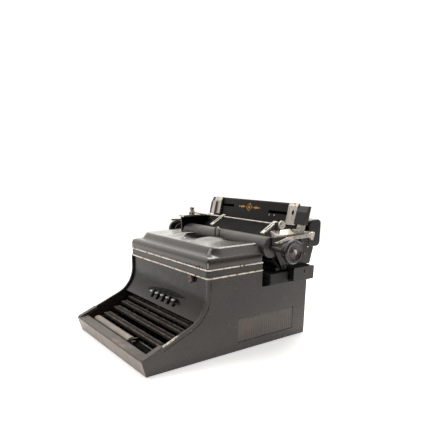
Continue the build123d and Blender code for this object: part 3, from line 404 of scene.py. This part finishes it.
# Near-black, dull and without specular: painted shade for the paper table's slots.
slot_shade_enamel = enamel("slot_shade_enamel", (0.001, 0.001, 0.001), (0.002, 0.002, 0.002), (0.01, 0.01, 0.01),
                     rough=(0.8, 0.9), wear=0.0, specular=0.0)
own_finishes = {
    "paper_pan": enamel("pan_enamel", CASTING, CASTING_WARM, CASTING_BARE, rough=(0.6, 0.75), wear=0.2,
                        specular=0.1),
    "side_panel_right": enamel("sill_enamel", BLACK, WARM, (0.72, 0.66, 0.58), wear=0.3, chips=0.72,
                               rubbed=sill_wear, dust_and_bounce=0.6),
    # The apron takes a darker, less shiny copy of the body enamel: painted shade.
    "front_apron": enamel("apron_shade_enamel", (0.012, 0.0105, 0.009), (0.020, 0.0155, 0.013), BARE,
                          specular=0.26),
    "paper_table": enamel("table_enamel", CASTING, CASTING_WARM, CARRIAGE_BARE, rough=(0.3, 0.45),
                          specular=0.2),
    "carriage_top_plate_right": nickel("cheek_nickel", 0.56, bracket_paint),
    "paper_release_lever": nickel("lever_nickel", 0.55, arm_paint),
    "paper_table_ends": nickel("table_end_nickel", 0.57, upper_paint),
    "type_guide": plate("type_guide_bronze", (0.30, 0.26, 0.22), (0.15, 0.13, 0.11), STAIN, metallic=0.8),
    "ribbon_selector_knob": moulding("selector_moulding", (0.10, 0.035, 0.028), (0.05, 0.025, 0.022),
                                     (0.40, 0.34, 0.33), rough=(0.2, 0.35), wear=0.8),
}
slots = {entry["node"]: entry["material_slot"] for entry in frame["record"]["subparts"]}


def dress(piece, material):
    piece.data.materials.clear()
    piece.data.materials.append(material)


for name, piece in nodes.items():
    dress(piece, own_finishes.get(name, finishes[slots[name]]))


# ---------------------------------------------------------------- helpers
def piece_from(name, points, faces, body, slot, smooth=True):
    """A mesh piece in the row frame that rides on a body."""
    mesh = bpy.data.meshes.new(name)
    mesh.from_pydata([tuple(p) for p in points], [], faces)
    mesh.update()
    made = bmesh.new()
    made.from_mesh(mesh)
    bmesh.ops.recalc_face_normals(made, faces=made.faces)
    made.to_mesh(mesh)
    made.free()
    mesh.polygons.foreach_set("use_smooth", [smooth] * len(mesh.polygons))
    piece = bpy.data.objects.new(name, mesh)
    bpy.context.scene.collection.objects.link(piece)
    dress(piece, finishes[slot])
    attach(piece, body)
    return piece


def at(x, depth, height):
    """Row point from millimetres across, behind the front edge, and up."""
    return Vector((x * MM, FRONT + depth * MM, height * MM))


def grid_faces(columns, rows):
    return [
        (i * rows + j, (i + 1) * rows + j, (i + 1) * rows + j + 1, i * rows + j + 1)
        for i in range(columns - 1)
        for j in range(rows - 1)
    ]


def apply_modifiers(piece):
    bpy.context.view_layer.update()
    depsgraph = bpy.context.evaluated_depsgraph_get()
    mesh = bpy.data.meshes.new_from_object(piece.evaluated_get(depsgraph))
    piece.modifiers.clear()
    piece.data = mesh


# ---------------------------------------------------------------- top cover
COVER_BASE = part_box("top_cover")[0].z / MM
COVER_HALF, COVER_FRONT, CORNER = 146.8, 129.2, 5.0
WALL_TOP, BROW = 182.0, 11.0
CROWN_HALF, CROWN_FRONT, CROWN_CORNER, CROWN_RISE = 135.0, 150.0, 20.0, 13.5
NOTCH_HALF = (
    (32.0, 204.0), (36.0, 226.0), (48.0, 236.0), (70.0, 229.0), (98.0, 238.0), (132.0, 259.0), (146.8, 260.0),
)
NOTCH = [(-x, depth) for x, depth in reversed(NOTCH_HALF)] + [(0.0, 180.0)] + list(NOTCH_HALF)


def smooth_curve(points, steps):
    """Catmull-Rom curve through points, as a list of (x, depth)."""
    out = []
    for i in range(len(points) - 1):
        a, b, c, d = (points[max(0, min(len(points) - 1, i + k))] for k in (-1, 0, 1, 2))
        for step in range(steps):
            t = step / steps
            out.append(tuple(
                0.5 * (2 * b[k] + (c[k] - a[k]) * t + (2 * a[k] - 5 * b[k] + 4 * c[k] - d[k]) * t * t
                       + (3 * b[k] - a[k] - 3 * c[k] + d[k]) * t ** 3)
                for k in (0, 1)
            ))
    return out + [points[-1]]


REAR = smooth_curve(NOTCH, 12)


def rear_depth(x):
    """Depth of the cover's rear edge at x."""
    for (x0, d0), (x1, d1) in zip(REAR, REAR[1:]):
        if x0 <= x <= x1:
            return d0 + (d1 - d0) * (x - x0) / max(1e-6, x1 - x0)
    return REAR[-1][1]


def inset_in(x, depth, half, front, corner):
    """How far inside a U-shaped outline with rounded front corners a point lies."""
    across, back = half - abs(x), depth - front
    if across < corner and back < corner:
        return corner - hypot(corner - across, corner - back)
    return min(across, back)


def ease(t):
    t = max(0.0, min(1.0, t))
    return t * t * (3 - 2 * t)


def cover_height(x, depth):
    inset = max(0.0, inset_in(x, depth, COVER_HALF, COVER_FRONT, CORNER))
    height = WALL_TOP + sqrt(max(0.0, BROW ** 2 - (BROW - min(inset, BROW)) ** 2))
    rise = CROWN_RISE * ease((inset_in(x, depth, CROWN_HALF, CROWN_FRONT, CROWN_CORNER) + 7) / 14)
    swell = 5.0 * exp(-((abs(x) - 42) ** 2) / 500 - ((depth - 212) ** 2) / 900)
    return height + rise + swell


def tube_mesh(path, radius, sides=12):
    """Points and faces of a round closed-ended tube along a path."""
    points, faces = [], []
    for i, here in enumerate(path):
        ahead = path[min(i + 1, len(path) - 1)] - path[max(i - 1, 0)]
        ahead.normalize()
        across = ahead.cross(Vector((0, 0, 1)) if abs(ahead.z) < 0.9 else Vector((1, 0, 0))).normalized()
        up = across.cross(ahead)
        for k in range(sides):
            a = 2 * pi * k / sides
            points.append(here + (across * cos(a) + up * sin(a)) * radius)
    for i in range(len(path) - 1):
        for k in range(sides):
            n = (k + 1) % sides
            faces.append((i * sides + k, i * sides + n, (i + 1) * sides + n, (i + 1) * sides + k))
    faces.append(tuple(range(sides)))
    faces.append(tuple((len(path) - 1) * sides + k for k in range(sides)))
    return points, faces


def rounded(inset_x, inset_d):
    """Move a point in the square corner onto the rounded corner's area."""
    if inset_x < CORNER and inset_d < CORNER:
        u, v = 1 - inset_x / CORNER, 1 - inset_d / CORNER
        return CORNER * (1 - u * sqrt(1 - v * v / 2)), CORNER * (1 - v * sqrt(1 - u * u / 2))
    return inset_x, inset_d


def build_cover():
    near = [CORNER * (1 - cos(pi / 2 * k / 10)) for k in range(11)]
    half = [COVER_HALF - s for s in near]
    middle = list(range(-132, 133, 3))
    lobes = [s * (30 + 0.75 * k) for s in (-1, 1) for k in range(12)]
    across = sorted({-h for h in half} | set(middle) | set(lobes) | set(half))
    across = [x for i, x in enumerate(across) if i == 0 or x - across[i - 1] > 0.2]
    rows = 64
    points = []
    for x in across:
        rear = rear_depth(x)
        line = []
        depths = [COVER_FRONT + s for s in near]
        start = depths[-1]
        depths += [start + (rear - start) * (k / (rows - 1)) for k in range(1, rows)]
        for depth in depths:
            inset_x, inset_d = rounded(COVER_HALF - abs(x), depth - COVER_FRONT)
            px = (COVER_HALF - inset_x) * (1 if x > 0 else -1)
            pd = COVER_FRONT + inset_d
            line.append((px, pd, cover_height(px, pd)))
        points.append(line)
    count = len(points[0])
    verts = [at(*p) for line in points for p in line]
    faces = grid_faces(len(across), count)
    left = list(range(count - 1, -1, -1))
    front = [i * count for i in range(1, len(across))]
    right = [(len(across) - 1) * count + j for j in range(1, count)]
    outline = left + front + right
    previous = outline
    for level in (178.0, COVER_BASE + 0.8, COVER_BASE):
        ring = []
        for index in outline:
            p = verts[index]
            ring.append(len(verts))
            verts.append(Vector((p.x, p.y, level * MM)))
        for a, b, c, d in zip(previous, previous[1:], ring[1:], ring):
            faces.append((a, b, c, d))
        previous = ring
    cover = piece_from("cover_shell", verts, faces, "cover", "body_paint")
    dress(cover, cover_enamel)
    solid = cover.modifiers.new("sheet", "SOLIDIFY")
    solid.thickness = 0.0024
    solid.offset = -1
    apply_modifiers(cover)
    cover.data.polygons.foreach_set("use_smooth", [True] * len(cover.data.polygons))
    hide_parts("top_cover")


build_cover()
HINGE_DEPTH, HINGE_HEIGHT = 130.2, 174.4
hinge_line = [at(x, HINGE_DEPTH, HINGE_HEIGHT) for x in range(-124, 125, 8)]
hinge_bead = piece_from("cover_hinge_bead", *tube_mesh(hinge_line, 2.1 * MM, 20), "cover", "body_paint")
dress(hinge_bead, cover_enamel)


# ---------------------------------------------------------------- vents
VENT_DEPTH, VENT_HEIGHT, RIBS, RIB_STEPS = (203.3, 352.7), (18.3, 65.7), 26, 8


def vent_sheets():
    """One pressed sheet of rounded ribs in each side panel's opening."""
    columns, rows = RIBS * RIB_STEPS + 1, 17
    points, faces = [], []
    for hand in (-1, 1):
        start = len(points)
        for i in range(columns):
            wave = 0.5 - 0.5 * cos(2 * pi * i / RIB_STEPS)
            depth = VENT_DEPTH[0] + (VENT_DEPTH[1] - VENT_DEPTH[0]) * i / (columns - 1)
            for j in range(rows):
                height = VENT_HEIGHT[0] + (VENT_HEIGHT[1] - VENT_HEIGHT[0]) * ease(j / (rows - 1))
                ends = ease((height - VENT_HEIGHT[0]) / 2.5) * ease((VENT_HEIGHT[1] - height) / 2.5)
                points.append(at(hand * (145.6 + 1.15 * wave ** 0.8 * ends), depth, height))
        for face in grid_faces(columns, rows):
            faces.append(tuple(start + k for k in face))
    sheet = piece_from("vent_sheets", points, faces, "frame", "body_paint")
    solid = sheet.modifiers.new("sheet", "SOLIDIFY")
    solid.thickness = 0.8 * MM
    solid.offset = 0
    apply_modifiers(sheet)
    dress(sheet, enamel("vent_enamel", (0.095, 0.084, 0.075), (0.125, 0.106, 0.095), BARE, rough=(0.3, 0.45),
                        edge=0.0006, wear=0.2))
    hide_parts("vent_grilles")


vent_sheets()


def sound_pad():
    """Felt lining behind the back panel's slots."""
    columns, rows = 61, 15
    points = []
    for i in range(columns):
        for j in range(rows):
            soft = 0.35 * sin(0.9 * i) * sin(1.3 * j)
            points.append(at(-108 + 216 * i / (columns - 1), 385.0 + soft, 16 + 48 * j / (rows - 1)))
    pad = piece_from("sound_pad", points, grid_faces(columns, rows), "frame", "frame_paint")
    solid = pad.modifiers.new("felt", "SOLIDIFY")
    solid.thickness = 2.4 * MM
    solid.offset = 0
    apply_modifiers(pad)
    felt = Surface("felt")
    fibre = felt.noise(900, 4, 0.7, stretch=(1, 1, 0.4))
    felt.relief(fibre, 0.5, 0.0004)
    felt.finish(felt.blend(fibre, (0.012, 0.011, 0.010), (0.040, 0.036, 0.033)), 0.95, specular=0.1)
    dress(pad, felt.material)


sound_pad()


# ---------------------------------------------------------------- small trim
def turned(profile, centre, axis, sides=24):
    """Points and faces of a turned piece: profile of (along, radius) about an axis."""
    axis = Vector(axis).normalized()
    across = axis.orthogonal().normalized()
    up = axis.cross(across)
    points, faces = [], []
    for along, radius in profile:
        for k in range(sides):
            a = 2 * pi * k / sides
            points.append(centre + axis * (along * MM) + (across * cos(a) + up * sin(a)) * (radius * MM))
    for i in range(len(profile) - 1):
        for k in range(sides):
            n = (k + 1) % sides
            faces.append((i * sides + k, i * sides + n, (i + 1) * sides + n, (i + 1) * sides + k))
    faces.append(tuple(range(sides)))
    faces.append(tuple((len(profile) - 1) * sides + k for k in range(sides)))
    return points, faces


def screw(name, centre, axis, radius, body, slot):
    """Round-headed screw with a slot across its head."""
    turns = (0.0, 0.35, 0.7, 1.0, 1.25, 1.45)
    dome = [(-0.6, radius)] + [(0.45 * radius * sin(a), radius * cos(a)) for a in turns]
    points, faces = turned(dome, centre, axis)
    head = piece_from(name, points, faces, body, slot)
    axis = Vector(axis).normalized()
    cut = axis.cross(Vector((0, 0.5, 1)) if abs(axis.x) > 0.5 else Vector((1, 0, 0))).normalized()
    for vertex in head.data.vertices:
        off = vertex.co - centre
        if abs(off.dot(cut)) < 0.22 * radius * MM and off.dot(axis) > 0:
            vertex.co -= axis * 0.25 * radius * MM


TABLE_FOOT, TABLE_LEAN = (357.0, 233.0), 10 / 44  # depth and height of its foot, then depth per height


def table_point(x, height, ahead):
    """Point a little in front of the paper table's leaning face."""
    return at(x, TABLE_FOOT[0] + (height - TABLE_FOOT[1]) * TABLE_LEAN - ahead, height)


def inlay(name, outlines, place, thick, body, slot):
    """Thin flat plates with the given outlines, laid on a surface."""
    points, faces = [], []
    for outline in outlines:
        start, count = len(points), len(outline)
        points += [place(x, height, thick) for x, height in outline]
        points += [place(x, height, -0.2) for x, height in outline]
        faces.append(tuple(range(start, start + count)))
        faces.append(tuple(range(start + 2 * count - 1, start + count - 1, -1)))
        for k in range(count):
            n = (k + 1) % count
            faces.append((start + k, start + count + k, start + count + n, start + n))
    return piece_from(name, points, faces, body, slot, smooth=False)


def leaf(x, height, angle, length, width):
    """Pointed leaf outline starting at a point."""
    outline = []
    for step in range(9):
        t = step / 8
        outline.append((t * length, 0.5 * width * sin(pi * t) ** 0.8))
    outline += [(a, -b) for a, b in outline[-2:0:-1]]
    return [
        (x + a * cos(angle) - b * sin(angle), height + a * sin(angle) + b * cos(angle)) for a, b in outline
    ]


def lozenge(x, half_width, half_height):
    return [(x + half_width, 0), (x, half_height), (x - half_width, 0), (x, -half_height)]


ORNAMENT_X, ORNAMENT_Z = -11.0, 260.5


def ornament():
    """Gilt lozenge between two long leaves, each ending in a small lozenge, on the paper table."""
    outlines = []
    corners = lozenge(0, 11, 9.5)
    for (ax, az), (bx, bz) in zip(corners, corners[1:] + corners[:1]):
        outlines.append([(ax, az), (bx, bz), (0.78 * bx, 0.78 * bz), (0.78 * ax, 0.78 * az)])
    outlines.append(lozenge(0, 4.6, 4.0))
    for hand in (-1, 1):
        outlines.append(leaf(hand * 13.5, 0.0, 0.0 if hand > 0 else pi, 19.0, 5.0))
        outlines.append(lozenge(hand * 34, 2.2, 2.2))
    moved = [[(ORNAMENT_X + x, ORNAMENT_Z + z) for x, z in outline] for outline in outlines]
    gilt = Surface("gilt")
    flaked = gilt.remap(gilt.noise(260, 4, 0.65), 0.56, 0.64)
    tone = gilt.blend(gilt.noise(70), (0.62, 0.36, 0.06), (0.42, 0.22, 0.035))
    gilt.relief(gilt.noise(500), 0.2, 0.0002)
    gloss = gilt.remap(gilt.noise(90), 0.3, 0.7, 0.35, 0.55)
    gilt.finish(gilt.blend(flaked, tone, (0.03, 0.022, 0.012)), gloss, metallic=0.35)
    dress(inlay("table_ornament", moved, table_point, 0.25, "carriage", "trim_metal"), gilt.material)


ornament()
TABLE_SLOTS = {"left": ((-112.6, -65.4), (257.4, 262.6)), "right": ((53.4, 108.6), (252.9, 258.1))}
# Each slot in the paper table is a flat near-black plate: painted shade where the opening is.
for name, ((near, far), (low, high)) in TABLE_SLOTS.items():
    outline = [(near, low), (far, low), (far, high), (near, high)]
    dress(inlay(f"table_slot_shade_{name}", [outline], table_point, 0.12, "carriage", "frame_paint"), slot_shade_enamel)
for number, (x, height) in enumerate(((57.0, 248.8), (72.0, 249.0))):
    screw(f"table_screw_{number + 1}", table_point(x, height, 0.0), (0, -1, 0.23), 1.9, "carriage", "chrome")
for name, hand in HANDS:
    screw(f"side_screw_{name}", at(hand * SIDE_FACE, 211, 142), (hand, 0, 0), 2.0, "frame", "steel")


def shade_trough():
    """Black trough that closes the gap under the platen's right end, put there as painted shade."""
    section = (
        (288.2, 175.4), (289.2, 176.0), (312.0, 153.0), (317.5, 180.0), (318.7, 179.8), (312.8, 150.6),
        (311.2, 150.6),
    )
    count = len(section)
    points = [at(x, depth, height) for x in (96.0, 144.6) for depth, height in section]
    faces = [(k, (k + 1) % count, (k + 1) % count + count, k + count) for k in range(count)]
    for first in (0, count):
        faces += [tuple(first + k for k in ring) for ring in ((0, 1, 2, 6), (2, 5, 6), (2, 3, 4, 5))]
    piece_from("carriage_shade_trough", points, faces, "carriage", "frame_paint", smooth=False)


shade_trough()


# ---------------------------------------------------------------- beads along the side walls
BEAD_X, BEAD_R = SIDE_FACE - 0.3, 68.0
THROAT = (69.0, 127.1)  # depth and height of the throat curve's centre


def bead_path(hand):
    """Line of the shallow bead inside a side wall's sloping front edge."""
    angle = radians(22.5)
    corner = THROAT[0] + BEAD_R * sin(angle)
    line = []
    for step in range(5):
        depth = 38 + step * (corner - 38) / 5
        height = THROAT[1] - BEAD_R * cos(angle) - (corner - depth) * sin(angle) / cos(angle)
        line.append(at(hand * BEAD_X, depth, height))
    for step in range(15):
        turn = (pi / 2 - angle) * (1 - step / 14)
        line.append(at(hand * BEAD_X, THROAT[0] + BEAD_R * cos(turn), THROAT[1] - BEAD_R * sin(turn)))
    line.append(at(hand * BEAD_X, THROAT[0] + BEAD_R, 149))
    return line


for name, hand in HANDS:
    piece_from(f"side_bead_{name}", *tube_mesh(bead_path(hand), 0.8 * MM, 10), "frame", "body_paint")


# ---------------------------------------------------------------- plate painted as shade over the tab keys
SHADE_PLATE = (
    (-61, 93.5, 94.5), (-52, 94.8, 98.5), (-43, 97.8, 100.5), (-33, 98, 102.5), (-12, 98, 105.5),
    (14, 98, 107.5), (40, 98.4, 107), (60, 100.4, 106), (76, 103.5, 104.3),
)  # across, and the heights of its lower and upper edges
APRON_FRONT_R = 64.0


def tab_shade_plate():
    """Dark fluted plate on the apron above the tab keys, tapering to both ends: painted shade."""
    columns, rows = 138, 9
    points = []
    for i in range(columns):
        x = SHADE_PLATE[0][0] + (SHADE_PLATE[-1][0] - SHADE_PLATE[0][0]) * i / (columns - 1)
        for (x0, low0, high0), (x1, low1, high1) in zip(SHADE_PLATE, SHADE_PLATE[1:]):
            if x0 <= x <= x1:
                t = (x - x0) / (x1 - x0)
                low, high = low0 + (low1 - low0) * t, high0 + (high1 - high0) * t
        for j in range(rows):
            t = j / (rows - 1)
            height = low + (high - low) * t
            flute = ((x + 43 - 2.2 * (height - 98)) / 21) % 1.0
            proud = 0.25 + 1.1 * sin(pi * t) ** 0.5 * (0.25 + 0.75 * flute)
            apron = THROAT[0] + sqrt(APRON_FRONT_R ** 2 - (THROAT[1] - height) ** 2)
            points.append(at(x, apron - proud, height))
    shade_plate = piece_from("tab_shade_plate", points, grid_faces(columns, rows), "frame", "frame_paint")
    solid = shade_plate.modifiers.new("sheet", "SOLIDIFY")
    solid.thickness = 0.6 * MM
    solid.offset = -1
    apply_modifiers(shade_plate)
    # Near-black and dull: the plate is painted shade over the tab keys.
    dress(shade_plate, enamel("shade_plate_enamel", (0.004, 0.004, 0.004), (0.007, 0.006, 0.006), (0.10, 0.09, 0.08),
                         rough=(0.45, 0.6), specular=0.12))


tab_shade_plate()


# ---------------------------------------------------------------- camera, light and floor
camera_data = bpy.data.cameras.new("camera")
camera_data.lens = 37.79
camera_data.sensor_width = 36
camera_data.shift_x = 0.0524
camera_data.shift_y = 0.1616
camera = bpy.data.objects.new("camera", camera_data)
camera.location = (0.7723, -0.5429, 0.3497)
camera.rotation_euler = (radians(75.364), 0, radians(55.325))
bpy.context.scene.collection.objects.link(camera)
bpy.context.scene.camera = camera
bpy.context.scene.view_settings.view_transform = "Standard"

world = bpy.data.worlds.new("studio")
world.use_nodes = True
sky, link = world.node_tree.nodes, world.node_tree.links.new
toward = sky.new("ShaderNodeVectorMath")  # how far a direction points at the pale side of the studio
toward.operation = "DOT_PRODUCT"
toward.inputs[1].default_value = (-0.76, 0.55, 0.34)
dome = sky.new("ShaderNodeMapRange")
for key, number in {"From Min": -0.3, "From Max": 0.8, "To Min": 0.10, "To Max": 1.7}.items():
    dome.inputs[key].default_value = number
level = sky.new("ShaderNodeMapRange")  # the dome's light, and a plain white backdrop for the camera
level.inputs["To Max"].default_value = 1.15
link(sky.new("ShaderNodeTexCoord").outputs["Generated"], toward.inputs[0])
link(toward.outputs["Value"], dome.inputs["Value"])
link(dome.outputs["Result"], level.inputs["To Min"])
link(sky.new("ShaderNodeLightPath").outputs["Is Camera Ray"], level.inputs["Value"])
link(level.outputs["Result"], sky["Background"].inputs["Strength"])
sky["Background"].inputs["Color"].default_value = (1, 0.965, 0.92, 1)
bpy.context.scene.world = world


def soft_light(name, place, target, size, power):
    data = bpy.data.lights.new(name, "AREA")
    data.shape = "DISK"
    data.size = size
    data.energy = power
    data.color = (1, 0.95, 0.89)
    lamp = bpy.data.objects.new(name, data)
    lamp.location = place
    lamp.rotation_euler = (Vector(target) - Vector(place)).to_track_quat("-Z", "Y").to_euler()
    bpy.context.scene.collection.objects.link(lamp)


soft_light("key_light", (-0.7, -1.1, 1.9), (0, 0, 0.1), 1.0, 11)
soft_light("top_light", (-0.5, 0.9, 1.9), (0, 0.05, 0.15), 1.4, 30)

FLOOR_R, FLOOR_SIDES = 1.35, 96
floor_mesh = bpy.data.meshes.new("floor")
turns = [2 * pi * k / FLOOR_SIDES for k in range(FLOOR_SIDES)]
rim = [(FLOOR_R * cos(turn), FLOOR_R * sin(turn), -0.4 * MM) for turn in turns]
floor_mesh.from_pydata(rim, [], [tuple(range(FLOOR_SIDES))])
floor = bpy.data.objects.new("floor", floor_mesh)
bpy.context.scene.collection.objects.link(floor)
floor_surface = Surface("pale_floor")
floor_tone = floor_surface.blend(floor_surface.noise(3), (0.84, 0.84, 0.84), (0.87, 0.87, 0.87))
floor_surface.finish(floor_tone, 0.7, specular=0.1)
floor_surface.shader.inputs["Emission Color"].default_value = (1, 1, 1, 1)
floor_surface.shader.inputs["Emission Strength"].default_value = 0.5
dress(floor, floor_surface.material)
